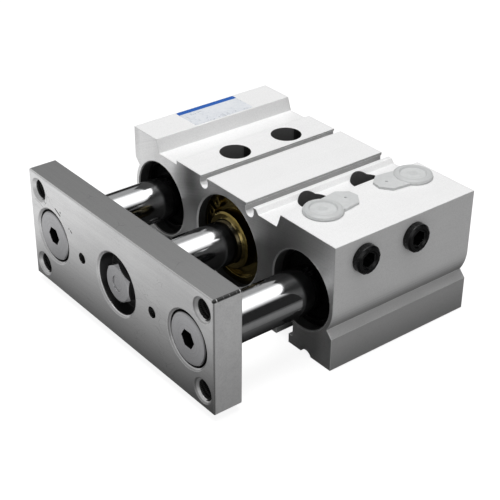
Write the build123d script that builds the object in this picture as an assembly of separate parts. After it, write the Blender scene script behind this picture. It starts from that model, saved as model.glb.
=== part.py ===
from build123d import *
import math
import os

# Compact guided air cylinder, 32 mm bore and 25 mm stroke, drawn fully extended.
# +X runs across the body, the front plate faces -Y, +Z is up.
# The origin is the centre of the four mounting screw holes, on the body's bottom face.

# Cylinder and stroke
STROKE = 25.0
BORE_DIAMETER = 32.0
ROD_DIAMETER = 16.0
PISTON_LENGTH = 14.9
BUMPER_THICKNESS = 1.5
END_GAP = 0.3  # left between piston and bumper at either end of the stroke

# Stack at both ends of the bore, from the outside in
FRONT_LIP = 3.6
REAR_LIP = 1.4
RING_THICKNESS = 1.5
RING_PLAY = 0.1
RING_GROOVE_DEPTH = 0.9
RING_REACH = 5.6  # from the groove in to the tips of the ears
COVER_RING_EARS_TURN = 148  # degrees, where the ears are
HEAD_RING_EARS_TURN = 270
SEAT_STEP = 1.1  # the bore's mouth is wider by this all round
FLANGE_THICKNESS = 1.8
SPIGOT_LENGTH = 3.6
O_RING_WIDTH = 2.0
O_RING_DEPTH = 1.4

# Guide rods and their ball bushings
GUIDE_PITCH = 80.0
GUIDE_ROD_DIAMETER = 16.0
GUIDE_BORE_DIAMETER = 28.0
GUIDE_RING_SETBACK = 4.0
GUIDE_RING_THICKNESS = 1.2
GUIDE_GROOVE_DEPTH = 0.7
GUIDE_RING_REACH = 4.2
FRONT_EARS_TURN = 90
REAR_EARS_TURN = 270
WIPER_LENGTH = 3.0
BEARING_LENGTH = 37.0
BEARING_SEAL_LENGTH = 1.5
BALL_DIAMETER = 3.175
BALL_PITCH = 4.6
BALLS_PER_ROW = 6
BALL_ROWS = 5
CAGE_WALL = 2.4
GUIDE_TAIL = 1.6  # how far a guide rod reaches behind its bushing when extended
BORE_CHAMFER = 0.5  # at both mouths of all three bores

# Body extrusion
GUIDE_WALL = 2.0  # beside the guide bores
BLOCK_ROOF = 9.5  # over the guide bores
CROWN_THICKNESS = 4.3  # over the cylinder bore
LEDGE_DROP = 0.3
VALLEY_DROP = 1.9
LEFT_BLOCK_WIDTH = 14.1
RIGHT_BLOCK_WIDTH = 26.9
BLOCK_SLOPE_RUN = 1.9
LEDGE_EDGE = 29.3
RIDGE_EDGE = 16.2
RIDGE_SLOPE_RUN = 1.6
SIDE_GROOVE_RISE = 8.5
SIDE_GROOVE_FLANK = 2.6
SENSOR_SLOT_OFFSET = 12.9
SENSOR_SLOT_WIDTH = 4.4
SENSOR_SLOT_MOUTH = 3.5
SENSOR_SLOT_DEPTH = 4.6
SENSOR_LIP_THICKNESS = 0.8
TSLOT_PITCH = 63.0
TSLOT_MOUTH = 6.5
TSLOT_WIDTH = 10.5
TSLOT_LIP = 3.5
TSLOT_HEAD_HEIGHT = 5.5
TSLOT_ROOF = 0.5
FOOT_GROOVE_PITCH = 87.5
FOOT_GROOVE_RADIUS = 2.75
FOOT_GROOVE_DEPTH = 1.6

# Mounting holes through the body
MOUNT_PITCH_X = 44.0
MOUNT_PITCH_Y = 24.0
MOUNT_FIRST_ROW = 21.0  # from the body's front face
MOUNT_HOLE_DIAMETER = 6.6
MOUNT_COUNTERBORE_DIAMETER = 11.5
MOUNT_COUNTERBORE_DEPTH = 7.5
MOUNT_LEAD_IN = 0.4  # bevel at the bottom end of each hole
DOWEL_PITCH = 42.0
DOWEL_DIAMETER = 4.0
DOWEL_DEPTH = 6.0

# Ports, with the plugs and dust caps in them
TOP_PORT_INSET = 20.2  # from the right side face
PORT_DIAMETER = 8.6
PORT_DEPTH = 6.8
PORT_OFFSET_FRONT = 1.9
PORT_OFFSET_REAR = 0.6
SIDE_PORT_RISE = 15.8  # above the bore axis
SIDE_PORT_PITCH = 22.3
SIDE_PORT_DEPTH = 6.0
AIR_PASSAGE_DIAMETER = 3.0
AIR_PASSAGE_ENTRY = 52.0  # degrees above the level, where it meets the cylinder bore
LINK_PASSAGE_DIAMETER = 2.4
PLUG_DIAMETER = 10.0
PLUG_TAPER = 0.3
PLUG_STAND_OUT = 2.9
PLUG_SOCKET = 5.0
PLUG_SOCKET_DEPTH = 5.0
CAP_DIAMETER = 14.0
CAP_HEIGHT = 1.5
CAP_DISH_RATIO = 0.62
CAP_DISH_DEPTH = 0.6
CAP_STEM_LENGTH = 5.0
CAP_WALL = 0.8
CAP_TAB_WIDTH = 10.5
CAP_TAB_REACH = 15.5
CAP_TAB_THICKNESS = 0.9
CAP_TAB_CORNER = 3.4
CAP_PIP_DIAMETER = 0.9  # moulding mark in the middle of the tab
CAP_PIP_HEIGHT = 0.3
CAP_TAB_TURN = 8.0  # degrees away from the line of the stroke
CAP_STEM_CLEARANCE = 0.3

# Front plate
PLATE_GAP = 10.0  # to the body when retracted
PLATE_THICKNESS = 11.0
PLATE_SCREW_PITCH_X = 96.0
PLATE_SCREW_PITCH_Z = 30.0
PLATE_END_MARGIN = 6.0
PLATE_EDGE_MARGIN = 6.25
PLATE_EDGE_CHAMFER = 0.4
PLATE_TAP_DIAMETER = 6.8
PLATE_TAP_CHAMFER = 1.2
PLATE_COUNTERBORE_DEPTH = 6.0
PLATE_COUNTERBORE_CHAMFER = 0.8
GUIDE_COUNTERBORE_DIAMETER = 19.5
ROD_COUNTERBORE_DIAMETER = 22.0

# Bolts of the plate
GUIDE_BOLT_DIAMETER = 10.0
GUIDE_BOLT_REACH = 18.0  # into the guide rod
GUIDE_HEAD_GAP = 0.6
GUIDE_HEAD_HEIGHT = 5.7
GUIDE_SOCKET = 6.0
GUIDE_SOCKET_DEPTH = 3.6
ROD_BOLT_DIAMETER = 8.0
ROD_BOLT_REACH = 16.0
ROD_BOLT_FLATS = 13.0
ROD_BOLT_HEAD_HEIGHT = 5.4
BOLT_CLEARANCE = 0.4

# Rod cover
BOSS_DIAMETER = 21.4
BOSS_SETBACK = 0.5
ROD_SEAL_WALL = 1.7
ROD_SEAL_SETBACK = 0.9
ROD_SEAL_LENGTH = 2.8
ROD_BUSH_WALL = 1.0
ROD_BUSH_LENGTH = 5.6
ROD_PASSAGE_CLEARANCE = 0.3

# Piston
PISTON_SPIGOT_DIAMETER = 10.0
WEAR_RING_SETBACK = 1.6
WEAR_RING_WIDTH = 3.0
WEAR_RING_DEPTH = 1.2
PISTON_LAND = 1.6
PISTON_SEAL_WIDTH = 3.0
PISTON_SEAL_DEPTH = 2.6
MAGNET_WIDTH = 2.6
MAGNET_DEPTH = 2.0
MAGNET_SETBACK = 0.3
MAGNET_REAR_LAND = 1.5
NUT_FLATS = 16.0
NUT_HEIGHT = 4.5
NUT_POCKET_CLEARANCE = 0.8

# Label film
LABEL_LENGTH = 27.0
LABEL_THICKNESS = 0.15
LABEL_MARGIN = 0.6
LABEL_SETBACK = 18.5

# Fits
RUNNING_FIT = 0.03  # radial, round sliding rods and in the bore
PISTON_FIT = 0.1
SEAT_FIT = 0.05

# Worked-out places along the stroke
front_y = -(MOUNT_FIRST_ROW + MOUNT_PITCH_Y / 2)
ring_slot = RING_THICKNESS + RING_PLAY
front_ring_y = front_y + FRONT_LIP
cover_flange_y = front_ring_y + ring_slot
cover_seat_y = cover_flange_y + FLANGE_THICKNESS
cover_end_y = cover_seat_y + SPIGOT_LENGTH
piston_y = cover_end_y + BUMPER_THICKNESS + END_GAP
head_front_y = piston_y + PISTON_LENGTH + STROKE + END_GAP + BUMPER_THICKNESS
head_seat_y = head_front_y + SPIGOT_LENGTH
head_flange_end_y = head_seat_y + FLANGE_THICKNESS
rear_ring_y = head_flange_end_y
rear_y = rear_ring_y + ring_slot + REAR_LIP
plate_back_y = front_y - PLATE_GAP - STROKE
plate_front_y = plate_back_y - PLATE_THICKNESS
guide_ring_y = front_y + GUIDE_RING_SETBACK
guide_ring_slot = GUIDE_RING_THICKNESS + RING_PLAY
wiper_y = guide_ring_y + guide_ring_slot
bearing_y = wiper_y + WIPER_LENGTH
bearing_end_y = bearing_y + BEARING_LENGTH
guide_tail_y = bearing_end_y + GUIDE_TAIL
front_port_y = cover_end_y + PORT_OFFSET_FRONT
rear_port_y = head_front_y - PORT_OFFSET_REAR
side_rear_port_y = front_port_y + SIDE_PORT_PITCH

# Worked-out sizes across the body
bore_radius = BORE_DIAMETER / 2
rod_radius = ROD_DIAMETER / 2
seat_radius = bore_radius + SEAT_STEP
guide_x = GUIDE_PITCH / 2
guide_rod_radius = GUIDE_ROD_DIAMETER / 2
guide_bore_radius = GUIDE_BORE_DIAMETER / 2
bulge_radius = guide_bore_radius + GUIDE_WALL
side_x = guide_x + bulge_radius
axis_z = TSLOT_LIP + TSLOT_HEAD_HEIGHT + TSLOT_ROOF + guide_bore_radius
block_z = axis_z + guide_bore_radius + BLOCK_ROOF
crown_z = axis_z + bore_radius + CROWN_THICKNESS
ledge_z = crown_z - LEDGE_DROP
valley_z = crown_z - VALLEY_DROP
left_edge_x = -side_x + LEFT_BLOCK_WIDTH
right_edge_x = side_x - RIGHT_BLOCK_WIDTH
top_port_x = side_x - TOP_PORT_INSET
side_port_z = axis_z + SIDE_PORT_RISE
counterbore_floor_y = plate_front_y + PLATE_COUNTERBORE_DEPTH
cage_outer_radius = guide_rod_radius + BALL_DIAMETER


# A flat outline in the plane across the stroke, pulled from y_from to y_to.
def pulled(outline, y_from, y_to):
    plane = Plane((0, y_to, 0), x_dir=(1, 0, 0), z_dir=(0, -1, 0))
    return extrude(plane * outline, amount=y_to - y_from)


# A closed outline of (place along y, radius) points, turned about the bore axis at x.
def turned(points, x=0.0):
    plane = Plane((x, 0, axis_z), x_dir=(1, 0, 0), z_dir=(0, 0, 1))
    outline = Polyline(*[(radius, y) for y, radius in points], close=True)
    return revolve(plane * make_face(outline), Axis((x, 0, axis_z), (0, 1, 0)))


def tube(y_from, y_to, outer, inner, x=0.0):
    return turned([(y_from, inner), (y_from, outer), (y_to, outer), (y_to, inner)], x)


def shaft(y_from, y_to, radius, x=0.0):
    return tube(y_from, y_to, radius, 0.0, x)


def hexagon_bar(across_flats, y_from, y_to, x=0.0, turn=0.0):
    outline = RegularPolygon(across_flats / 2, 6, major_radius=False, rotation=turn)
    return pulled(Pos(x, axis_z) * outline, y_from, y_to)


def upright(x, y, z_from, z_to, radius):
    return Pos(x, y, (z_from + z_to) / 2) * Cylinder(radius, z_to - z_from)


# A round hole drilled from start to end.
def drilling(start, end, radius):
    run = Vector(*end) - Vector(*start)
    return Plane((Vector(*start) + Vector(*end)) / 2, z_dir=run) * Cylinder(radius, run.length)


# The four places of a rectangular hole pattern.
def corners(pitch_a, pitch_b):
    return [(a * pitch_a / 2, b * pitch_b / 2) for a in (-1, 1) for b in (-1, 1)]


# The body's outer outline: two guide blocks, a crowned middle with a ledge, a ridge and
# two valleys, V grooves beside the round bulges of the guide bores.
def body_outline():
    groove_x = math.sqrt(bulge_radius**2 - SIDE_GROOVE_RISE**2)
    low_z = axis_z - SIDE_GROOVE_RISE
    high_z = axis_z + SIDE_GROOVE_RISE
    flank = SIDE_GROOVE_FLANK
    right = Line((side_x, 0), (side_x, low_z - flank))
    right += Line((side_x, low_z - flank), (guide_x + groove_x, low_z))
    right_chord = bulge_radius * math.cos(math.radians(16))
    right_rise = bulge_radius * math.sin(math.radians(16))
    right += ThreePointArc(
        (guide_x + groove_x, low_z),
        (guide_x + right_chord, axis_z - right_rise),
        (side_x, axis_z),
    )
    top = Polyline(
        (side_x, axis_z),
        (side_x, block_z),
        (right_edge_x, block_z),
        (right_edge_x - BLOCK_SLOPE_RUN, valley_z),
        (RIDGE_EDGE + RIDGE_SLOPE_RUN, valley_z),
        (RIDGE_EDGE, ledge_z),
        (SENSOR_SLOT_OFFSET, ledge_z),
        (SENSOR_SLOT_OFFSET, crown_z),
        (-SENSOR_SLOT_OFFSET, crown_z),
        (-SENSOR_SLOT_OFFSET, ledge_z),
        (-LEDGE_EDGE, ledge_z),
        (-LEDGE_EDGE, valley_z),
        (left_edge_x + BLOCK_SLOPE_RUN, valley_z),
        (left_edge_x, block_z),
        (-side_x, block_z),
        (-side_x, high_z + flank),
        (-guide_x - groove_x, high_z),
    )
    left = ThreePointArc((-guide_x - groove_x, high_z), (-side_x, axis_z), (-guide_x - groove_x, low_z))
    foot = Polyline((-guide_x - groove_x, low_z), (-side_x, low_z - flank), (-side_x, 0), (side_x, 0))
    return make_face(right + top + left + foot)


def sensor_slot(x):
    floor_z = crown_z - SENSOR_SLOT_DEPTH
    radius = SENSOR_SLOT_WIDTH / 2
    wall_top_z = ledge_z - SENSOR_LIP_THICKNESS
    floor = Pos(x, floor_z + radius) * Circle(radius)
    wall_height = wall_top_z - floor_z - radius
    walls = Pos(x, floor_z + radius + wall_height / 2) * Rectangle(SENSOR_SLOT_WIDTH, wall_height)
    mouth_height = crown_z - floor_z
    mouth = Pos(x, floor_z + radius + mouth_height / 2) * Rectangle(SENSOR_SLOT_MOUTH, mouth_height)
    return floor + walls + mouth


def t_slot(x):
    mouth = Pos(x, TSLOT_LIP / 2) * Rectangle(TSLOT_MOUTH, TSLOT_LIP)
    head = Pos(x, TSLOT_LIP + TSLOT_HEAD_HEIGHT / 2) * Rectangle(TSLOT_WIDTH, TSLOT_HEAD_HEIGHT)
    return mouth + head


def extrusion():
    outline = body_outline()
    for x in (-SENSOR_SLOT_OFFSET, SENSOR_SLOT_OFFSET):
        outline -= sensor_slot(x)
    for side in (-1, 1):
        outline -= t_slot(side * TSLOT_PITCH / 2)
        groove_z = FOOT_GROOVE_DEPTH - FOOT_GROOVE_RADIUS
        outline -= Pos(side * FOOT_GROOVE_PITCH / 2, groove_z) * Circle(FOOT_GROOVE_RADIUS)
        outline -= Pos(side * guide_x, axis_z) * Circle(guide_bore_radius)
    outline -= Pos(0, axis_z) * Circle(bore_radius)
    return pulled(outline, front_y, rear_y)


# Bevelled mouths of a bore that runs right through the body.
def bore_mouths(radius, x=0.0):
    wide = radius + BORE_CHAMFER
    mouths = []
    for end_y, inside_y in ((front_y, front_y + BORE_CHAMFER), (rear_y, rear_y - BORE_CHAMFER)):
        mouths.append(turned([(end_y, 0), (end_y, wide), (inside_y, radius), (inside_y, 0)], x))
    return mouths


# Wider mouths and ring grooves of the cylinder bore, and ring grooves of the guide bores.
def bore_machining():
    groove_radius = seat_radius + RING_GROOVE_DEPTH
    cuts = [
        shaft(front_y, cover_seat_y, seat_radius),
        shaft(front_ring_y, cover_flange_y, groove_radius),
        shaft(head_seat_y, rear_y, seat_radius),
        shaft(rear_ring_y, rear_ring_y + ring_slot, groove_radius),
        *bore_mouths(seat_radius),
    ]
    guide_groove_radius = guide_bore_radius + GUIDE_GROOVE_DEPTH
    for x in (-guide_x, guide_x):
        cuts.append(shaft(guide_ring_y, wiper_y, guide_groove_radius, x))
        cuts.append(shaft(bearing_end_y, bearing_end_y + guide_ring_slot, guide_groove_radius, x))
        cuts += bore_mouths(guide_bore_radius, x)
    return cuts


def mounting_holes():
    cuts = []
    floor_z = ledge_z - MOUNT_COUNTERBORE_DEPTH
    hole = MOUNT_HOLE_DIAMETER / 2
    for x, y in corners(MOUNT_PITCH_X, MOUNT_PITCH_Y):
        cuts.append(upright(x, y, 0, floor_z, hole))
        cuts.append(upright(x, y, floor_z, block_z, MOUNT_COUNTERBORE_DIAMETER / 2))
        cuts.append(Pos(x, y, MOUNT_LEAD_IN / 2) * Cone(hole + MOUNT_LEAD_IN, hole, MOUNT_LEAD_IN))
    for side in (-1, 1):
        cuts.append(upright(side * DOWEL_PITCH / 2, 0, 0, DOWEL_DEPTH, DOWEL_DIAMETER / 2))
    return cuts


def side_port(y):
    outer = PLUG_DIAMETER / 2
    cone = Cone(outer - PLUG_TAPER, outer, SIDE_PORT_DEPTH)
    return Pos(side_x - SIDE_PORT_DEPTH / 2, y, side_port_z) * Rotation(0, 90, 0) * cone


# Top and side ports, each pair linked, with the passages from the top ports to the ends of
# the cylinder bore.
def port_machining():
    port_floor_z = block_z - PORT_DEPTH
    passage_z = port_floor_z + AIR_PASSAGE_DIAMETER * 0.6
    link_z = port_floor_z + LINK_PASSAGE_DIAMETER * 0.6
    link_radius = LINK_PASSAGE_DIAMETER / 2
    link_start_x = side_x - SIDE_PORT_DEPTH + link_radius
    lean = math.radians(AIR_PASSAGE_ENTRY)
    entry_radius = bore_radius - AIR_PASSAGE_DIAMETER
    entry_x = entry_radius * math.cos(lean)
    entry_z = axis_z + entry_radius * math.sin(lean)
    cuts = []
    for y, side_y in ((front_port_y, front_port_y), (rear_port_y, side_rear_port_y)):
        cuts.append(upright(top_port_x, y, port_floor_z, block_z, PORT_DIAMETER / 2))
        cuts.append(drilling((top_port_x, y, passage_z), (entry_x, y, entry_z), AIR_PASSAGE_DIAMETER / 2))
        cuts.append(side_port(side_y))
        cuts.append(drilling((link_start_x, side_y, link_z), (top_port_x, y, link_z), link_radius))
    return cuts


def body():
    return extrusion() - bore_machining() - mounting_holes() - port_machining()


# A hole along the stroke with a chamfered mouth on the plate's front face.
def plate_mouth(x, radius, depth, chamfer_width):
    front = plate_front_y
    points = [
        (front, 0),
        (front, radius + chamfer_width),
        (front + chamfer_width, radius),
        (front + depth, radius),
        (front + depth, 0),
    ]
    return turned(points, x)


def front_plate():
    width = PLATE_SCREW_PITCH_X + 2 * PLATE_END_MARGIN
    height = PLATE_SCREW_PITCH_Z + 2 * PLATE_EDGE_MARGIN
    plate = pulled(Pos(0, axis_z) * Rectangle(width, height), plate_front_y, plate_back_y)
    plate = chamfer(plate.edges(), PLATE_EDGE_CHAMFER)
    counterbore = (PLATE_COUNTERBORE_DEPTH, PLATE_COUNTERBORE_CHAMFER)
    for x in (-guide_x, guide_x):
        plate -= plate_mouth(x, GUIDE_COUNTERBORE_DIAMETER / 2, *counterbore)
        plate -= shaft(plate_front_y, plate_back_y, (GUIDE_BOLT_DIAMETER + BOLT_CLEARANCE) / 2, x)
    plate -= plate_mouth(0, ROD_COUNTERBORE_DIAMETER / 2, *counterbore)
    plate -= shaft(plate_front_y, plate_back_y, (ROD_BOLT_DIAMETER + BOLT_CLEARANCE) / 2)
    tap_radius = PLATE_TAP_DIAMETER / 2
    for x, z in corners(PLATE_SCREW_PITCH_X, PLATE_SCREW_PITCH_Z):
        hole = plate_mouth(x, tap_radius, PLATE_THICKNESS / 2, PLATE_TAP_CHAMFER)
        far_half = Pos(0, plate_front_y + plate_back_y, 0) * mirror(hole, Plane.XZ)
        plate -= Pos(0, 0, z) * (hole + far_half)
    for side in (-1, 1):
        plate -= shaft(plate_front_y, plate_back_y, DOWEL_DIAMETER / 2, side * DOWEL_PITCH / 2)
    return plate


def guide_rod(x):
    radius = guide_rod_radius
    hole = GUIDE_BOLT_DIAMETER / 2 + SEAT_FIT
    bevel = 1.0
    points = [
        (plate_back_y, hole),
        (plate_back_y, radius - bevel / 2),
        (plate_back_y + bevel / 2, radius),
        (guide_tail_y - bevel, radius),
        (guide_tail_y, radius - bevel),
        (guide_tail_y, 0),
        (plate_back_y + GUIDE_BOLT_REACH + hole, 0),
        (plate_back_y + GUIDE_BOLT_REACH + bevel, hole),
    ]
    return turned(points, x)


def guide_bolt(x):
    head_radius = GUIDE_COUNTERBORE_DIAMETER / 2 - GUIDE_HEAD_GAP
    shank_radius = GUIDE_BOLT_DIAMETER / 2
    front = counterbore_floor_y - GUIDE_HEAD_HEIGHT
    bevel = 0.5
    points = [
        (front, 0),
        (front, head_radius - bevel),
        (front + bevel, head_radius),
        (counterbore_floor_y, head_radius),
        (counterbore_floor_y, shank_radius),
        (plate_back_y + GUIDE_BOLT_REACH - bevel, shank_radius),
        (plate_back_y + GUIDE_BOLT_REACH, shank_radius - bevel),
        (plate_back_y + GUIDE_BOLT_REACH, 0),
    ]
    socket = hexagon_bar(GUIDE_SOCKET, front, front + GUIDE_SOCKET_DEPTH, x)
    return turned(points, x) - socket


def rod_bolt():
    front = counterbore_floor_y - ROD_BOLT_HEAD_HEIGHT
    crown = ROD_BOLT_FLATS / 2
    corner = crown / math.cos(math.radians(30))
    drop = (corner - crown) * math.tan(math.radians(30))
    limit = [
        (front, 0),
        (front, crown * 0.96),
        (front + drop * 1.5, corner + 0.05),
        (counterbore_floor_y, corner + 0.05),
        (counterbore_floor_y, 0),
    ]
    head = hexagon_bar(ROD_BOLT_FLATS, front, counterbore_floor_y, turn=30) & turned(limit)
    head -= shaft(front, front + 0.35, crown * 0.45)
    return head + shaft(counterbore_floor_y, plate_back_y + ROD_BOLT_REACH, ROD_BOLT_DIAMETER / 2)


def piston_rod():
    hole = ROD_BOLT_DIAMETER / 2 + SEAT_FIT
    bevel = 0.5
    nut_end_y = piston_y + PISTON_LENGTH
    points = [
        (plate_back_y, hole),
        (plate_back_y, rod_radius - bevel),
        (plate_back_y + bevel, rod_radius),
        (piston_y, rod_radius),
        (piston_y, PISTON_SPIGOT_DIAMETER / 2),
        (nut_end_y, PISTON_SPIGOT_DIAMETER / 2),
        (nut_end_y, 0),
        (plate_back_y + ROD_BOLT_REACH + hole, 0),
        (plate_back_y + ROD_BOLT_REACH + bevel, hole),
    ]
    return turned(points)


# A tapered internal retaining ring with two lugs, its gap towards gap_angle.
def retaining_ring(y, groove_radius, thickness, reach, gap_angle, x=0.0):
    outer = groove_radius - RING_PLAY
    widest = reach * 0.62
    narrowest = reach * 0.36
    inner = outer - (widest + narrowest) / 2
    shift = (widest - narrowest) / 2
    lug = reach * 0.34
    band = Circle(outer) - Pos(shift, 0) * Circle(inner)
    lug_place = outer - reach + lug
    spread = math.degrees(1.5 * lug / lug_place)
    for side in (-1, 1):
        foot = (outer - lug_place) * 0.8
        pad = Pos(lug_place, 0) * Circle(lug) + Pos(lug_place + foot / 2, 0) * Rectangle(foot, 2 * lug)
        band += Rotation(0, 0, side * spread) * pad
    band -= Pos(outer, 0) * Rectangle(3 * reach, lug)
    for side in (-1, 1):
        band -= Rotation(0, 0, side * spread) * Pos(lug_place, 0) * Circle(lug * 0.45)
    placed = Pos(x, axis_z) * Rotation(0, 0, gap_angle) * band
    return pulled(placed, y + RING_PLAY / 2, y + RING_PLAY / 2 + thickness)


# Squeezed ring seal in an outside groove that is wide by O_RING_WIDTH from y on.
def o_ring(y):
    outer = bore_radius - RUNNING_FIT
    inner = bore_radius - SEAT_FIT - O_RING_DEPTH + RUNNING_FIT
    near = y + SEAT_FIT
    far = y + O_RING_WIDTH - SEAT_FIT
    bevel = (outer - inner) * 0.28
    points = [
        (near, inner + bevel),
        (near, outer - bevel),
        (near + bevel, outer),
        (far - bevel, outer),
        (far, outer - bevel),
        (far, inner + bevel),
        (far - bevel, inner),
        (near + bevel, inner),
    ]
    return turned(points)


def cover_o_ring_y():
    return cover_seat_y + (SPIGOT_LENGTH - O_RING_WIDTH) / 2


def head_o_ring_y():
    return head_front_y + (SPIGOT_LENGTH - O_RING_WIDTH) / 2


def rod_cover():
    boss_y = front_y + BOSS_SETBACK
    seal_y = boss_y + ROD_SEAL_SETBACK
    groove = cover_o_ring_y()
    spigot = bore_radius - SEAT_FIT
    points = [
        (boss_y, rod_radius + ROD_PASSAGE_CLEARANCE),
        (boss_y, BOSS_DIAMETER / 2 - 0.6),
        (boss_y + 0.6, BOSS_DIAMETER / 2),
        (cover_flange_y, BOSS_DIAMETER / 2),
        (cover_flange_y, seat_radius - SEAT_FIT),
        (cover_seat_y, seat_radius - SEAT_FIT),
        (cover_seat_y, spigot),
        (groove, spigot),
        (groove, spigot - O_RING_DEPTH),
        (groove + O_RING_WIDTH, spigot - O_RING_DEPTH),
        (groove + O_RING_WIDTH, spigot),
        (cover_end_y, spigot),
        (cover_end_y, rod_radius + ROD_BUSH_WALL + RUNNING_FIT),
        (cover_end_y - ROD_BUSH_LENGTH, rod_radius + ROD_BUSH_WALL + RUNNING_FIT),
        (cover_end_y - ROD_BUSH_LENGTH, rod_radius + ROD_PASSAGE_CLEARANCE),
        (seal_y + ROD_SEAL_LENGTH, rod_radius + ROD_PASSAGE_CLEARANCE),
        (seal_y + ROD_SEAL_LENGTH, rod_radius + ROD_SEAL_WALL),
        (seal_y, rod_radius + ROD_SEAL_WALL),
        (seal_y, rod_radius + ROD_PASSAGE_CLEARANCE),
    ]
    return turned(points)


# Lip seal with its open side towards the pressure.
def rod_seal():
    near = front_y + BOSS_SETBACK + ROD_SEAL_SETBACK + SEAT_FIT
    far = near + ROD_SEAL_LENGTH - 2 * SEAT_FIT
    inner = rod_radius + RUNNING_FIT
    outer = rod_radius + ROD_SEAL_WALL - RUNNING_FIT
    middle = (inner + outer) / 2
    lip = (outer - inner) * 0.3
    points = [
        (near, inner + lip),
        (near, outer),
        (far, outer),
        (far, outer - lip),
        (near + (far - near) * 0.45, middle),
        (far, inner + lip),
        (far, inner),
        (near + (far - near) * 0.7, inner),
    ]
    return turned(points)


def rod_bush():
    outer = rod_radius + ROD_BUSH_WALL
    return tube(cover_end_y - ROD_BUSH_LENGTH, cover_end_y, outer, rod_radius + RUNNING_FIT)


def bumper(y):
    inner = rod_radius + ROD_BUSH_WALL + ROD_PASSAGE_CLEARANCE
    outer = (inner + bore_radius) / 2
    return tube(y, y + BUMPER_THICKNESS, outer, inner)


# Where the piston's grooves start and what they hold.
def piston_grooves():
    wear_y = piston_y + WEAR_RING_SETBACK
    seal_y = wear_y + WEAR_RING_WIDTH + PISTON_LAND
    magnet_y = piston_y + PISTON_LENGTH - MAGNET_REAR_LAND - MAGNET_WIDTH
    return {
        "wear": (wear_y, WEAR_RING_WIDTH, WEAR_RING_DEPTH),
        "seal": (seal_y, PISTON_SEAL_WIDTH, PISTON_SEAL_DEPTH),
        "magnet": (magnet_y, MAGNET_WIDTH, MAGNET_DEPTH),
    }


def nut_pocket_radius():
    return NUT_FLATS / 2 / math.cos(math.radians(30)) + NUT_POCKET_CLEARANCE


def piston():
    radius = bore_radius - PISTON_FIT
    end_y = piston_y + PISTON_LENGTH
    block = tube(piston_y, end_y, radius, PISTON_SPIGOT_DIAMETER / 2 + SEAT_FIT)
    for y, width, depth in piston_grooves().values():
        block -= tube(y, y + width, radius + 1, radius - depth)
    return block - shaft(end_y - NUT_HEIGHT, end_y, nut_pocket_radius())


# A ring in one of the piston's grooves, its outside at the given radius.
def piston_ring(groove, outer):
    y, width, depth = piston_grooves()[groove]
    inner = bore_radius - PISTON_FIT - depth + SEAT_FIT
    return tube(y + SEAT_FIT, y + width - SEAT_FIT, outer, inner)


def piston_seal():
    ring = piston_ring("seal", bore_radius - RUNNING_FIT)
    y, width, depth = piston_grooves()["seal"]
    middle = y + width / 2
    notch = [
        (middle - width * 0.2, bore_radius),
        (middle + width * 0.2, bore_radius),
        (middle, bore_radius - depth * 0.35),
    ]
    return ring - turned(notch)


def piston_nut():
    end_y = piston_y + PISTON_LENGTH
    nut = hexagon_bar(NUT_FLATS, end_y - NUT_HEIGHT, end_y)
    return nut - shaft(end_y - NUT_HEIGHT, end_y, PISTON_SPIGOT_DIAMETER / 2 + SEAT_FIT)


def head_cover():
    groove = head_o_ring_y()
    spigot = bore_radius - SEAT_FIT
    dish_radius = bore_radius * 0.55
    dish_depth = FLANGE_THICKNESS / 2
    points = [
        (head_front_y, 0),
        (head_front_y, spigot),
        (groove, spigot),
        (groove, spigot - O_RING_DEPTH),
        (groove + O_RING_WIDTH, spigot - O_RING_DEPTH),
        (groove + O_RING_WIDTH, spigot),
        (head_seat_y, spigot),
        (head_seat_y, seat_radius - SEAT_FIT),
        (head_flange_end_y, seat_radius - SEAT_FIT),
        (head_flange_end_y, dish_radius + dish_depth),
        (head_flange_end_y - dish_depth, dish_radius),
        (head_flange_end_y - dish_depth, 0),
    ]
    return turned(points)


# Scraper in a steel case, its lip leaning out along the guide rod.
def guide_wiper(x):
    outer = guide_bore_radius - SEAT_FIT
    inner = guide_rod_radius + RUNNING_FIT
    end_y = wiper_y + WIPER_LENGTH
    waist = inner + (outer - inner) * 0.35
    points = [
        (wiper_y, outer - 1.2),
        (wiper_y, outer),
        (end_y, outer),
        (end_y, inner + 0.4),
        (wiper_y + WIPER_LENGTH * 0.3, inner),
        (wiper_y, inner),
        (wiper_y, inner + 0.5),
        (wiper_y + WIPER_LENGTH * 0.45, waist),
        (wiper_y + WIPER_LENGTH * 0.45, outer - 1.2),
    ]
    return turned(points, x)


def bearing_sleeve(x):
    outer = guide_bore_radius - SEAT_FIT
    inner = cage_outer_radius + RUNNING_FIT
    bevel = 0.6
    points = [
        (bearing_y, inner),
        (bearing_y, outer - bevel),
        (bearing_y + bevel, outer),
        (bearing_end_y - bevel, outer),
        (bearing_end_y, outer - bevel),
        (bearing_end_y, inner),
    ]
    return turned(points, x)


# Ball cage: a tube with one long window for each row of balls.
def bearing_cage(x):
    start = bearing_y + BEARING_SEAL_LENGTH
    end = bearing_end_y - BEARING_SEAL_LENGTH
    cage = tube(start, end, cage_outer_radius, cage_outer_radius - CAGE_WALL, x)
    window_width = BALL_DIAMETER + 0.4
    window_length = BALL_PITCH * BALLS_PER_ROW
    middle = (start + end) / 2
    for row in range(BALL_ROWS):
        turn = 360 / BALL_ROWS * row + 90
        window = Pos(cage_outer_radius, middle, 0) * Box(2 * CAGE_WALL + 2, window_length, window_width)
        cage -= Pos(x, 0, axis_z) * Rotation(0, turn, 0) * window
    return cage


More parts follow.
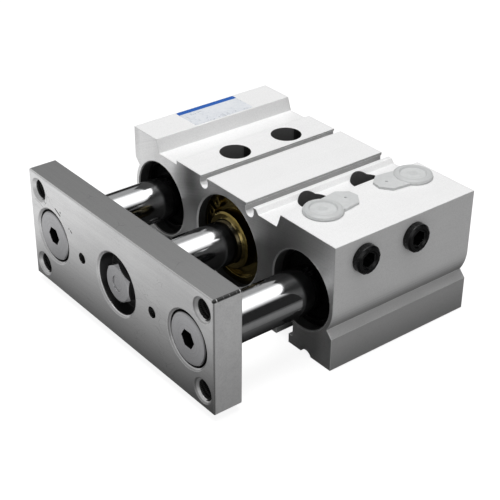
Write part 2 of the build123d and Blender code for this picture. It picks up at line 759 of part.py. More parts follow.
# The loaded balls, each with 26 flats that touch its sphere.
def bearing_balls(x):
    size = BALL_DIAMETER - 2 * RUNNING_FIT
    flat = size * (1 - math.sqrt(0.5))
    ball = chamfer(Box(size, size, size).edges(), flat)
    middle = (bearing_y + bearing_end_y) / 2
    place = guide_rod_radius + BALL_DIAMETER / 2
    balls = []
    for row in range(BALL_ROWS):
        turn = 360 / BALL_ROWS * row + 90
        for step in range(BALLS_PER_ROW):
            y = middle + (step - (BALLS_PER_ROW - 1) / 2) * BALL_PITCH
            balls += (Pos(x, 0, axis_z) * Rotation(0, turn, 0) * Pos(place, y, 0) * ball).solids()
    return Compound(balls)


def bearing_seals(x):
    outer = cage_outer_radius
    inner = guide_rod_radius + RUNNING_FIT
    front = tube(bearing_y, bearing_y + BEARING_SEAL_LENGTH - SEAT_FIT, outer, inner, x)
    rear = tube(bearing_end_y - BEARING_SEAL_LENGTH + SEAT_FIT, bearing_end_y, outer, inner, x)
    return Compound([*front.solids(), *rear.solids()])


# Taper plug with a hexagon socket, drawn along Z and laid into the side face.
def side_plug(y):
    outer = PLUG_DIAMETER / 2
    seated = Pos(0, 0, -SIDE_PORT_DEPTH / 2)
    thread = seated * Cone(outer - PLUG_TAPER - SEAT_FIT, outer - SEAT_FIT, SIDE_PORT_DEPTH)
    head = Pos(0, 0, PLUG_STAND_OUT / 2) * Cylinder(outer, PLUG_STAND_OUT)
    head = chamfer(head.edges().group_by(Axis.Z)[-1], 0.7)
    socket = RegularPolygon(PLUG_SOCKET / 2, 6, major_radius=False)
    socket_cut = extrude(Pos(0, 0, PLUG_STAND_OUT - PLUG_SOCKET_DEPTH) * socket, amount=PLUG_SOCKET_DEPTH)
    entry_radius = PLUG_SOCKET * 0.58
    entry = Pos(0, 0, PLUG_STAND_OUT - 0.3) * Cone(entry_radius, entry_radius + 0.6, 0.6)
    plug = thread + head - socket_cut - entry
    return Pos(side_x, y, side_port_z) * Rotation(0, 90, 0) * plug


# Soft dust cap: a closed, dished disc on a stem that is hollow from below, with a pull tab.
def port_cap(y, tab_angle):
    radius = CAP_DIAMETER / 2
    stem = PORT_DIAMETER / 2 - CAP_STEM_CLEARANCE
    hollow = stem - CAP_WALL
    dish = radius * CAP_DISH_RATIO
    dish_z = CAP_HEIGHT - CAP_DISH_DEPTH
    points = [
        (0, dish_z - CAP_WALL),
        (hollow, dish_z - CAP_WALL),
        (hollow, -CAP_STEM_LENGTH),
        (stem - 0.4, -CAP_STEM_LENGTH),
        (stem, -CAP_STEM_LENGTH + 0.8),
        (stem, 0),
        (radius - 0.2, 0),
        (radius, CAP_HEIGHT * 0.35),
        (radius - 0.3, CAP_HEIGHT * 0.75),
        (radius - 1.0, CAP_HEIGHT),
        (dish + 0.5, CAP_HEIGHT),
        (dish, dish_z + 0.1),
        (dish * 0.55, dish_z),
        (dish * 0.3, dish_z + 0.25),
        (0, dish_z + 0.25),
    ]
    disc = revolve(Plane.XZ * make_face(Polyline(*points, close=True)), Axis.Z)
    reach = CAP_TAB_REACH
    half = CAP_TAB_WIDTH / 2
    cut = CAP_TAB_CORNER
    tab_points = [
        (stem + 1.0, -half),
        (reach - cut, -half),
        (reach, -half + cut),
        (reach, half - cut),
        (reach - cut, half),
        (stem + 1.0, half),
    ]
    tab = extrude(make_face(Polyline(*tab_points, close=True)), amount=CAP_TAB_THICKNESS)
    pip_x = (radius + reach) / 2
    pip = Pos(pip_x, 0, CAP_TAB_THICKNESS) * Cylinder(CAP_PIP_DIAMETER / 2, 2 * CAP_PIP_HEIGHT)
    cap = disc + tab + pip
    return Pos(top_port_x, y, block_z) * Rotation(0, 0, tab_angle) * cap


def label():
    width = LEFT_BLOCK_WIDTH - 2 * LABEL_MARGIN
    x = -side_x + LEFT_BLOCK_WIDTH / 2
    y = front_y + LABEL_SETBACK + LABEL_LENGTH / 2
    film = Pos(x, y, block_z) * RectangleRounded(width, LABEL_LENGTH, 0.6)
    return extrude(film, amount=LABEL_THICKNESS)


def parts():
    cover_ring = (seat_radius + RING_GROOVE_DEPTH, RING_THICKNESS, RING_REACH)
    guide_ring = (guide_bore_radius + GUIDE_GROOVE_DEPTH, GUIDE_RING_THICKNESS, GUIDE_RING_REACH)
    nodes = {
        "body": body(),
        "front_plate": front_plate(),
        "piston_rod": piston_rod(),
        "rod_bolt": rod_bolt(),
        "rod_cover": rod_cover(),
        "rod_cover_ring": retaining_ring(front_ring_y, *cover_ring, COVER_RING_EARS_TURN),
        "rod_cover_o_ring": o_ring(cover_o_ring_y()),
        "rod_seal": rod_seal(),
        "rod_bush": rod_bush(),
        "bumper_front": bumper(cover_end_y),
        "bumper_rear": bumper(head_front_y - BUMPER_THICKNESS),
        "piston": piston(),
        "wear_ring": piston_ring("wear", bore_radius - RUNNING_FIT),
        "piston_seal": piston_seal(),
        "piston_magnet": piston_ring("magnet", bore_radius - PISTON_FIT - MAGNET_SETBACK),
        "piston_nut": piston_nut(),
        "head_cover": head_cover(),
        "head_cover_o_ring": o_ring(head_o_ring_y()),
        "head_cover_ring": retaining_ring(rear_ring_y, *cover_ring, HEAD_RING_EARS_TURN),
        "side_plug_front": side_plug(front_port_y),
        "side_plug_rear": side_plug(side_rear_port_y),
        "port_cap_front": port_cap(front_port_y, 90 + CAP_TAB_TURN),
        "port_cap_rear": port_cap(rear_port_y, -90 - CAP_TAB_TURN),
        "label": label(),
    }
    for side, x in (("left", -guide_x), ("right", guide_x)):
        nodes["guide_rod_" + side] = guide_rod(x)
        nodes["guide_bolt_" + side] = guide_bolt(x)
        nodes["guide_ring_front_" + side] = retaining_ring(guide_ring_y, *guide_ring, FRONT_EARS_TURN, x)
        nodes["guide_ring_rear_" + side] = retaining_ring(bearing_end_y, *guide_ring, REAR_EARS_TURN, x)
        nodes["guide_wiper_" + side] = guide_wiper(x)
        nodes["bearing_sleeve_" + side] = bearing_sleeve(x)
        nodes["bearing_cage_" + side] = bearing_cage(x)
        nodes["bearing_balls_" + side] = bearing_balls(x)
        nodes["bearing_seals_" + side] = bearing_seals(x)
    return nodes


os.makedirs("parts", exist_ok=True)
for name, solid in parts().items():
    export_step(solid, f"parts/{name}.step")
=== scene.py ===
import math

import bpy
from mathutils import Matrix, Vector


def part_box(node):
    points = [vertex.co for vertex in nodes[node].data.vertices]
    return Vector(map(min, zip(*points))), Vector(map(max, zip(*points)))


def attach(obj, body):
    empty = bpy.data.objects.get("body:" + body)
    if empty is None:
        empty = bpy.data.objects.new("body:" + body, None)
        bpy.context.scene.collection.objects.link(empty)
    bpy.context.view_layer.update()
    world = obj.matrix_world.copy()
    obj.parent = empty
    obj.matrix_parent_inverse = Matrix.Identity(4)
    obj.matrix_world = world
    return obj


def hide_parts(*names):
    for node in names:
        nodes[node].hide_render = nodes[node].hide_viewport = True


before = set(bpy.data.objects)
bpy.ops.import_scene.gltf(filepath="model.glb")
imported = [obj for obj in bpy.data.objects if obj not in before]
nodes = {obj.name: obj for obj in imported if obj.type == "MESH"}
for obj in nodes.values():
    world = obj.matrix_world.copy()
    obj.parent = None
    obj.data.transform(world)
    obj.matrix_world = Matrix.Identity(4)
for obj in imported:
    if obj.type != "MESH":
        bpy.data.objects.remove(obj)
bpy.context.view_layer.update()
scene = bpy.context.scene
print("frame loaded with", len(nodes), "nodes")

# height of the axes of all three bores
axisZ = 0.0235


# helpers for shader and geometry trees

def sockets(tree, ins, outs):
    for name, kind, value in ins:
        socket = tree.interface.new_socket(name=name, in_out="INPUT", socket_type=kind)
        if value is not None:
            socket.default_value = value
    for name, kind in outs:
        tree.interface.new_socket(name=name, in_out="OUTPUT", socket_type=kind)


def addNode(tree, kind, inputs=None, **settings):
    node = tree.nodes.new(kind)
    for key, value in settings.items():
        setattr(node, key, value)
    for key, value in (inputs or {}).items():
        if isinstance(value, bpy.types.NodeSocket):
            tree.links.new(value, node.inputs[key])
        else:
            node.inputs[key].default_value = value
    return node


def maths(tree, operation, first, second=0.0, clamp=False):
    node = addNode(tree, "ShaderNodeMath", {0: first, 1: second}, operation=operation, use_clamp=clamp)
    return node.outputs[0]


def times(tree, first, second, clamp=False):
    return maths(tree, "MULTIPLY", first, second, clamp)


def plus(tree, first, second):
    return maths(tree, "ADD", first, second)


def minus(tree, first, second):
    return maths(tree, "SUBTRACT", first, second)


def larger(tree, first, second):
    return maths(tree, "MAXIMUM", first, second)


def absolute(tree, value):
    return maths(tree, "ABSOLUTE", value)


def distance(tree, first, second):
    return maths(tree, "SQRT", plus(tree, times(tree, first, first), times(tree, second, second)))


def ramp(tree, value, low, high, outLow=0.0, outHigh=1.0):
    node = addNode(tree, "ShaderNodeMapRange", {"Value": value, "From Min": low, "From Max": high,
                                                "To Min": outLow, "To Max": outHigh})
    node.interpolation_type = "SMOOTHSTEP"
    return node.outputs["Result"]


def mixColour(tree, factor, first, second, blend="MIX"):
    node = addNode(tree, "ShaderNodeMix", data_type="RGBA", blend_type=blend)
    for index, value in ((0, factor), (6, first), (7, second)):
        if isinstance(value, bpy.types.NodeSocket):
            tree.links.new(value, node.inputs[index])
        else:
            node.inputs[index].default_value = value
    return node.outputs[2]


def mixValue(tree, factor, first, second):
    return addNode(tree, "ShaderNodeMix", {0: factor, 2: first, 3: second}).outputs[0]


def noise(tree, vector, scale, detail=3.0, roughness=0.6):
    return addNode(tree, "ShaderNodeTexNoise", {"Vector": vector, "Scale": scale, "Detail": detail,
                                                "Roughness": roughness}).outputs["Fac"]


def stretched(tree, vector, factors):
    return addNode(tree, "ShaderNodeMapping", {"Vector": vector, "Scale": factors}).outputs["Vector"]


def split(tree, vector):
    return addNode(tree, "ShaderNodeSeparateXYZ", {0: vector}).outputs


def vectorMaths(tree, operation, first, second):
    return addNode(tree, "ShaderNodeVectorMath", {0: first, 1: second}, operation=operation).outputs


def squareTo(tree, component):
    # 1 on faces square to an axis, from that component of the normal
    return ramp(tree, absolute(tree, component), 0.90, 0.98)


def near(tree, value, middle, halfWide, strength=1.0):
    # strength at the middle, down to nothing on both sides of it
    return ramp(tree, absolute(tree, minus(tree, value, middle)), halfWide, 0.0, 0.0, strength)


# effects shared by several materials, each a node group

def buildGrain():
    # blasted or anodised grain, with a slow cloudy change over it
    tree = bpy.data.node_groups.new("fineGrain", "ShaderNodeTree")
    sockets(tree, [("Vector", "NodeSocketVector", None), ("Grain Scale", "NodeSocketFloat", 2600.0),
                   ("Cloud Scale", "NodeSocketFloat", 45.0), ("Cloud Share", "NodeSocketFloat", 0.4)],
            [("Mask", "NodeSocketFloat"), ("Height", "NodeSocketFloat")])
    gin, gout = tree.nodes.new("NodeGroupInput"), tree.nodes.new("NodeGroupOutput")
    grain = noise(tree, gin.outputs["Vector"], gin.outputs["Grain Scale"], 2.0, 0.75)
    cloud = noise(tree, gin.outputs["Vector"], gin.outputs["Cloud Scale"], 4.0, 0.55)
    share = times(tree, cloud, gin.outputs["Cloud Share"])
    rest = times(tree, grain, minus(tree, 1.0, gin.outputs["Cloud Share"]))
    tree.links.new(plus(tree, share, rest), gout.inputs["Mask"])
    tree.links.new(grain, gout.inputs["Height"])
    return tree


def buildLines():
    # drawn or ground lines: noise pulled long by the Stretch input
    tree = bpy.data.node_groups.new("toolLines", "ShaderNodeTree")
    sockets(tree, [("Vector", "NodeSocketVector", None), ("Stretch", "NodeSocketVector", (1.0, 1.0, 1.0)),
                   ("Scale", "NodeSocketFloat", 900.0)],
            [("Mask", "NodeSocketFloat"), ("Height", "NodeSocketFloat")])
    gin, gout = tree.nodes.new("NodeGroupInput"), tree.nodes.new("NodeGroupOutput")
    pulled = vectorMaths(tree, "MULTIPLY", gin.outputs["Vector"], gin.outputs["Stretch"])[0]
    fine = noise(tree, pulled, gin.outputs["Scale"], 3.0, 0.7)
    broad = noise(tree, pulled, times(tree, gin.outputs["Scale"], 0.22), 2.0, 0.5)
    both = plus(tree, times(tree, fine, 0.6), times(tree, broad, 0.4))
    tree.links.new(both, gout.inputs["Mask"])
    tree.links.new(fine, gout.inputs["Height"])
    return tree


def buildRings():
    # turning or milling rings round an axis along Y, through Centre
    tree = bpy.data.node_groups.new("turningRings", "ShaderNodeTree")
    sockets(tree, [("Vector", "NodeSocketVector", None), ("Centre", "NodeSocketVector", (0.0, 0.0, 0.0)),
                   ("Rings", "NodeSocketFloat", 2200.0)],
            [("Mask", "NodeSocketFloat"), ("Height", "NodeSocketFloat")])
    gin, gout = tree.nodes.new("NodeGroupInput"), tree.nodes.new("NodeGroupOutput")
    away = vectorMaths(tree, "SUBTRACT", gin.outputs["Vector"], gin.outputs["Centre"])[0]
    parts = split(tree, away)
    along = plus(tree, distance(tree, parts[0], parts[2]), times(tree, parts[1], 0.7))
    line = addNode(tree, "ShaderNodeCombineXYZ", {0: along, 1: 0.0, 2: 0.0}).outputs[0]
    rings = noise(tree, line, gin.outputs["Rings"], 3.0, 0.7)
    tree.links.new(rings, gout.inputs["Mask"])
    tree.links.new(rings, gout.inputs["Height"])
    return tree


def buildEdges():
    # worn edges and painted edge highlights, from how far a rounded normal turns away from the flat one
    tree = bpy.data.node_groups.new("wornEdgesAndHighlight", "ShaderNodeTree")
    sockets(tree, [("Vector", "NodeSocketVector", None), ("Radius", "NodeSocketFloat", 0.0004),
                   ("Breakup", "NodeSocketFloat", 0.5)],
            [("Mask", "NodeSocketFloat"), ("Normal", "NodeSocketVector")])
    gin, gout = tree.nodes.new("NodeGroupInput"), tree.nodes.new("NodeGroupOutput")
    bevel = addNode(tree, "ShaderNodeBevel", {"Radius": gin.outputs["Radius"]}, samples=5)
    geometry = tree.nodes.new("ShaderNodeNewGeometry")
    facing = vectorMaths(tree, "DOT_PRODUCT", bevel.outputs[0], geometry.outputs["True Normal"])["Value"]
    turned = ramp(tree, facing, 0.995, 0.86)
    patch = ramp(tree, noise(tree, gin.outputs["Vector"], 260.0, 3.0, 0.6), 0.35, 0.62)
    kept = mixValue(tree, gin.outputs["Breakup"], 1.0, patch)
    tree.links.new(times(tree, turned, kept, True), gout.inputs["Mask"])
    tree.links.new(bevel.outputs[0], gout.inputs["Normal"])
    return tree


def buildMarks():
    # thin handling scratches and small specks
    tree = bpy.data.node_groups.new("handlingMarks", "ShaderNodeTree")
    sockets(tree, [("Vector", "NodeSocketVector", None), ("Amount", "NodeSocketFloat", 0.5)],
            [("Scratches", "NodeSocketFloat"), ("Specks", "NodeSocketFloat")])
    gin, gout = tree.nodes.new("NodeGroupInput"), tree.nodes.new("NodeGroupOutput")
    warp = addNode(tree, "ShaderNodeTexNoise", {"Vector": gin.outputs["Vector"], "Scale": 60.0, "Detail": 1.0})
    pushed = vectorMaths(tree, "MULTIPLY", warp.outputs["Color"], (0.02, 0.02, 0.02))[0]
    moved = vectorMaths(tree, "ADD", gin.outputs["Vector"], pushed)[0]
    cells = addNode(tree, "ShaderNodeTexVoronoi", {"Vector": stretched(tree, moved, (90.0, 90.0, 420.0)),
                                                   "Scale": 1.0}, feature="DISTANCE_TO_EDGE").outputs["Distance"]
    thin = ramp(tree, cells, 0.012, 0.0)
    where = ramp(tree, noise(tree, gin.outputs["Vector"], 70.0, 2.0, 0.5), 0.58, 0.68)
    scratches = times(tree, times(tree, thin, where), gin.outputs["Amount"], True)
    dots = addNode(tree, "ShaderNodeTexVoronoi", {"Vector": gin.outputs["Vector"], "Scale": 420.0})
    dots = dots.outputs["Distance"]
    specks = times(tree, ramp(tree, dots, 0.10, 0.04), where)
    tree.links.new(scratches, gout.inputs["Scratches"])
    tree.links.new(times(tree, specks, gin.outputs["Amount"], True), gout.inputs["Specks"])
    return tree


fineGrain, toolLines, turningRings = buildGrain(), buildLines(), buildRings()
wornEdgesAndHighlight, handlingMarks = buildEdges(), buildMarks()


def useGroup(tree, group, **inputs):
    node = tree.nodes.new("ShaderNodeGroup")
    node.node_tree = group
    for key, value in inputs.items():
        socket = node.inputs[key.replace("_", " ")]
        if isinstance(value, bpy.types.NodeSocket):
            tree.links.new(value, socket)
        else:
            socket.default_value = value
    return node.outputs


def newMaterial(name, **constants):
    # an empty Principled material; constants go on its own sockets
    material = bpy.data.materials.new(name)
    material.use_nodes = True
    tree = material.node_tree
    shader = tree.nodes["Principled BSDF"]
    for key, value in constants.items():
        shader.inputs[key.replace("_", " ")].default_value = value
    place = tree.nodes.new("ShaderNodeTexCoord").outputs["Object"]
    return material, tree, shader, place


def wire(tree, shader, colour=None, roughness=None, height=None, strength=0.2, distance=0.0001, normal=None):
    if colour is not None:
        tree.links.new(colour, shader.inputs["Base Color"])
    if roughness is not None:
        tree.links.new(roughness, shader.inputs["Roughness"])
    if height is not None:
        bump = addNode(tree, "ShaderNodeBump", {"Strength": strength, "Distance": distance, "Height": height})
        if normal is not None:
            tree.links.new(normal, bump.inputs["Normal"])
        normal = bump.outputs[0]
    if normal is not None:
        tree.links.new(normal, shader.inputs["Normal"])


def inHoles(tree, first, second, holes):
    # 1 on the walls of round holes, each given as (first, second, radius); first and second are its axis' place
    mask = 0.0
    for a, b, radius in holes:
        away = distance(tree, minus(tree, first, a), minus(tree, second, b))
        mask = larger(tree, mask, ramp(tree, away, radius + 0.00003, radius + 0.00001))
    return mask


# the body: anodised drawn faces with a fine grain, bare milled faces at both ends, bores and screw holes in painted
# shade
bodyLook = {
    "bright": (0.88, 0.88, 0.88, 1), "dull": (0.78, 0.78, 0.78, 1), "edge": (0.96, 0.96, 0.96, 1),
    "milledBright": (0.90, 0.90, 0.90, 1), "milledDull": (0.52, 0.52, 0.52, 1),
    "hole": (0.008, 0.008, 0.008, 1), "paintedShade": (0.02, 0.02, 0.02, 1),
    # share of the tool lines in the grain, on the drawn faces and on the milled ends, and of the painted sheen
    # bands on the milled ends
    "drawnLines": 0.14, "milledLines": 0.35, "paintedSheenShare": 0.65,
    # painted reflection patches on the milled ends: x, half width, from z, to z and, on the dark ones, strength
    "paintedDarkPatches": [(0.030, 0.034, 0.004, 0.034, 0.74), (-0.021, 0.012, 0.024, 0.038, 0.80)],
    "paintedBrightPatch": (-0.0215, 0.010, 0.034, 0.020),
    # painted shade low on the sides: from z, to z, strength
    "lowShades": [(0.0215, 0.0120, 0.42), (0.012, 0.0, 0.16)],
    # how dark the painted shade is where the sides turn in above their groove, and on the walls of the sensor
    # grooves
    "grooveShade": 0.40, "slotShade": 0.44, "slotReach": 0.0160, "slotDepth": (0.0472, 0.0452),
    "drawnMetal": 0.20, "milledMetal": 0.92, "roughLow": 0.38, "roughHigh": 0.54, "roughInHoles": 0.9,
    # bores and rims are (x, height above the axis, radius), screw holes (x, y, radius), mirrored about the middle
    "bores": [(0.0, 0.0, 0.0171), (0.04, 0.0, 0.0141)], "rims": [(0.04, 0.0, 0.0147)],
    "cylinderRim": [(0.0, 0.0, 0.0177)], "screwHoles": [(0.022, 0.012, 0.00575)],
    "boreDark": 0.985, "screwDark": 0.87, "rimDark": 0.60, "mirroredDark": 0.86,
}


# painted reflection on the milled ends: dark patches and one bright patch
def paintedPatchesOnEnds(tree, look, x, z):
    dull = 0.0
    for middle, halfWide, fromZ, toZ, strength in look["paintedDarkPatches"]:
        patch = times(tree, near(tree, x, middle, halfWide, strength), ramp(tree, z, fromZ, toZ))
        dull = larger(tree, dull, patch)
    middle, halfWide, fromZ, toZ = look["paintedBrightPatch"]
    return dull, times(tree, near(tree, x, middle, halfWide), ramp(tree, z, fromZ, toZ))


# painted shade on the drawn skin: darker low on the sides, where they turn in above their groove, and in the sensor
# grooves
def shadeOfSkin(tree, look, across, z, facing):
    shade = 0.0
    for fromZ, toZ, strength in look["lowShades"]:
        shade = plus(tree, shade, ramp(tree, z, fromZ, toZ, 0.0, strength))
    turnsIn = times(tree, ramp(tree, facing[2], -0.05, -0.50), look["grooveShade"])
    top, deep = look["slotDepth"]
    reach = look["slotReach"]
    inSlots = times(tree, squareTo(tree, facing[0]), ramp(tree, across, reach + 0.0002, reach))
    inSlots = times(tree, inSlots, ramp(tree, z, top, deep, 0.0, look["slotShade"]))
    # the bores below the slots have walls square to X too
    inSlots = times(tree, inSlots, ramp(tree, z, 0.030, 0.034))
    return plus(tree, plus(tree, shade, turnsIn), inSlots)


def makeBodyMaterial(look=bodyLook):
    material, tree, shader, place = newMaterial("anodisedBody")
    grain = useGroup(tree, fineGrain, Vector=place, Grain_Scale=2400.0, Cloud_Scale=30.0, Cloud_Share=0.35)
    drawn = useGroup(tree, toolLines, Vector=place, Stretch=(1.0, 0.02, 1.0), Scale=1500.0)
    milled = useGroup(tree, turningRings, Vector=place, Centre=(0.05, 0.0, -0.16), Rings=1500.0)
    facing = split(tree, tree.nodes.new("ShaderNodeNewGeometry").outputs["True Normal"])
    isEnd = squareTo(tree, facing[1])
    lines = mixValue(tree, isEnd, drawn["Mask"], milled["Mask"])
    blend = mixValue(tree, mixValue(tree, isEnd, look["drawnLines"], look["milledLines"]), grain["Mask"], lines)
    spread = ramp(tree, blend, 0.34, 0.62)
    # painted reflection: the milled ends carry broad upright bands of painted sheen over their fine lines
    paintedSheen = ramp(tree, noise(tree, stretched(tree, place, (55.0, 0.0, 14.0)), 1.0, 2.0, 0.5), 0.36, 0.64)
    paintedSheen = mixValue(tree, look["paintedSheenShare"], spread, paintedSheen)
    milledColour = mixColour(tree, paintedSheen, look["milledDull"], look["milledBright"])
    colour = mixColour(tree, isEnd, mixColour(tree, spread, look["dull"], look["bright"]), milledColour)
    parts = split(tree, place)
    across, along = absolute(tree, parts[0]), absolute(tree, parts[1])
    # painted reflection patches on the milled ends, the bright one in the edge colour
    dull, bright = paintedPatchesOnEnds(tree, look, parts[0], parts[2])
    colour = mixColour(tree, times(tree, bright, isEnd), colour, look["edge"])
    # painted shade on the drawn faces and the dark painted reflection patches on the ends, in one dark colour
    paintedShadeMask = mixValue(tree, isEnd, shadeOfSkin(tree, look, across, parts[2], facing), dull)
    colour = mixColour(tree, paintedShadeMask, colour, look["paintedShade"])
    # worn edges with a painted highlight along them
    edges = useGroup(tree, wornEdgesAndHighlight, Vector=place, Radius=0.0005, Breakup=0.3)
    colour = mixColour(tree, edges["Mask"], colour, look["edge"])
    # painted shade, darker the deeper: rims, screw holes, bores
    fromAxis = minus(tree, parts[2], axisZ)
    notEnd = minus(tree, 1.0, isEnd)
    inBores = times(tree, inHoles(tree, across, fromAxis, look["bores"]), notEnd)
    onRims = times(tree, inHoles(tree, across, fromAxis, look["rims"]), notEnd)
    inScrews = times(tree, inHoles(tree, across, along, look["screwHoles"]), look["screwDark"])
    inside = larger(tree, times(tree, inBores, look["boreDark"]), inScrews)
    inside = larger(tree, inside, times(tree, onRims, look["rimDark"]))
    colour = mixColour(tree, inside, colour, look["hole"])
    # the chromed rods see the ends darker than the eye does, as the rods in the photo show them
    # painted reflection: for glossy rays the ends and rims take the dark hole colour
    onRims = larger(tree, onRims, inHoles(tree, parts[0], fromAxis, look["cylinderRim"]))
    seenInRods = tree.nodes.new("ShaderNodeLightPath").outputs["Is Glossy Ray"]
    seenInRods = times(tree, times(tree, seenInRods, larger(tree, isEnd, onRims)), look["mirroredDark"])
    colour = mixColour(tree, seenInRods, colour, look["hole"])
    tree.links.new(mixValue(tree, isEnd, look["drawnMetal"], look["milledMetal"]), shader.inputs["Metallic"])
    rough = ramp(tree, blend, 0.3, 0.7, look["roughHigh"], look["roughLow"])
    rough = mixValue(tree, inside, rough, look["roughInHoles"])
    height = plus(tree, grain["Height"], times(tree, lines, 0.5))
    wire(tree, shader, colour, rough, height, 0.16, 0.00006, edges["Normal"])
    return material


# ground, nickel-plated steel of the plate, its lines along X
plateLook = {
    "bright": (0.95, 0.95, 0.95, 1), "dull": (0.80, 0.80, 0.805, 1), "edge": (0.88, 0.88, 0.87, 1),
    "scratch": (0.05, 0.05, 0.05, 1), "paintedShade": (0.03, 0.03, 0.03, 1), "hole": (0.02, 0.02, 0.02, 1),
    "metallic": 0.80, "metallicEnds": 0.25, "roughLow": 0.30, "roughHigh": 0.44,
    # painted shade: how much darker the top is, and the front towards the right and low down
    "dimTop": 0.66, "dimRight": 0.32, "dimLow": 0.24,
    # holes are (x, height from the axis, radius), mirrored about the middle
    "holes": [(0.048, 0.015, 0.0034), (0.021, 0.0, 0.002), (0.04, 0.0, 0.00975), (0.0, 0.0, 0.011)],
    # dark strokes on the front: x, z, turn, half length; their half width; the width of the inked edge
    "marks": [(-0.0356, 0.0350, 0.46, 0.0021), (-0.0338, 0.0357, 0.5, 0.0004),
              (-0.0285, 0.0317, 0.5, 0.0003), (-0.0272, 0.0311, 0.6, 0.0007)],
    "markWidth": 0.00038, "inkedEdge": 0.0011,
}


def drawMark(tree, look, parts, mark):
    # a short dark stroke on the plate's front, 1 in its middle
    x, z, turn, half = mark
    dx, dz = minus(tree, parts[0], x), minus(tree, parts[2], z)
    sine, cosine = math.sin(turn), math.cos(turn)
    along = minus(tree, times(tree, dx, cosine), times(tree, dz, sine))
    across = plus(tree, times(tree, dx, sine), times(tree, dz, cosine))
    inLength = ramp(tree, absolute(tree, along), half, half * 0.8)
    inWidth = ramp(tree, absolute(tree, across), look["markWidth"], look["markWidth"] - 0.0002)
    return times(tree, inLength, inWidth)


def makePlateMaterial(look=plateLook):
    low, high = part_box("front_plate")
    material, tree, shader, place = newMaterial("groundPlate")
    lines = useGroup(tree, toolLines, Vector=place, Stretch=(0.05, 1.0, 1.0), Scale=1700.0)
    grain = useGroup(tree, fineGrain, Vector=place, Grain_Scale=1900.0, Cloud_Scale=38.0, Cloud_Share=0.5)
    blend = plus(tree, times(tree, lines["Mask"], 0.4), times(tree, grain["Mask"], 0.6))
    colour = mixColour(tree, ramp(tree, blend, 0.36, 0.62), look["dull"], look["bright"])
    # painted shade: a darker top, a front that darkens towards the lower right, and ends darker low down
    parts = split(tree, place)
    facing = split(tree, tree.nodes.new("ShaderNodeNewGeometry").outputs["True Normal"])
    sideways = squareTo(tree, facing[0])
    tree.links.new(mixValue(tree, sideways, look["metallic"], look["metallicEnds"]), shader.inputs["Metallic"])
    dimX = ramp(tree, parts[0], low.x, high.x, 0.0, look["dimRight"])
    dimZ = ramp(tree, parts[2], high.z, low.z, 0.0, look["dimLow"])
    onFront = ramp(tree, parts[1], low.y + 0.0006, low.y + 0.0003)
    dimFront = times(tree, plus(tree, dimX, dimZ), onFront)
    dimFront = plus(tree, dimFront, times(tree, dimZ, sideways))
    dim = mixValue(tree, ramp(tree, facing[2], 0.80, 0.98), dimFront, look["dimTop"])
    colour = mixColour(tree, dim, colour, look["paintedShade"])
    # worn edges with a painted highlight along them
    edges = useGroup(tree, wornEdgesAndHighlight, Vector=place, Radius=0.0004, Breakup=0.45)
    colour = mixColour(tree, edges["Mask"], colour, look["edge"])
    marks = useGroup(tree, handlingMarks, Vector=place, Amount=0.55)
    dark = larger(tree, marks["Scratches"], marks["Specks"])
    for mark in look["marks"]:
        dark = larger(tree, dark, times(tree, drawMark(tree, look, parts, mark), onFront))
    # a broken line of ink along the plate's upper right edge
    inked = look["inkedEdge"]
    nearX = ramp(tree, parts[0], high.x - inked, high.x - inked * 0.6)
    nearZ = ramp(tree, parts[2], high.z - inked, high.z - inked * 0.6)
    dashes = ramp(tree, noise(tree, stretched(tree, place, (0.0, 1500.0, 0.0)), 1.0, 1.0, 0.5), 0.34, 0.42)
    dark = larger(tree, dark, times(tree, times(tree, nearX, nearZ), dashes))
    colour = mixColour(tree, dark, colour, look["scratch"])
    # painted shade in the holes
    fromAxis = absolute(tree, minus(tree, parts[2], axisZ))
    inside = inHoles(tree, absolute(tree, parts[0]), fromAxis, look["holes"])
    colour = mixColour(tree, inside, colour, mixColour(tree, 0.9, colour, look["hole"]))
    rough = ramp(tree, blend, 0.3, 0.7, look["roughHigh"], look["roughLow"])
    height = minus(tree, plus(tree, lines["Height"], grain["Height"]), marks["Scratches"])
    wire(tree, shader, colour, rough, height, 0.14, 0.00006, edges["Normal"])
    return material


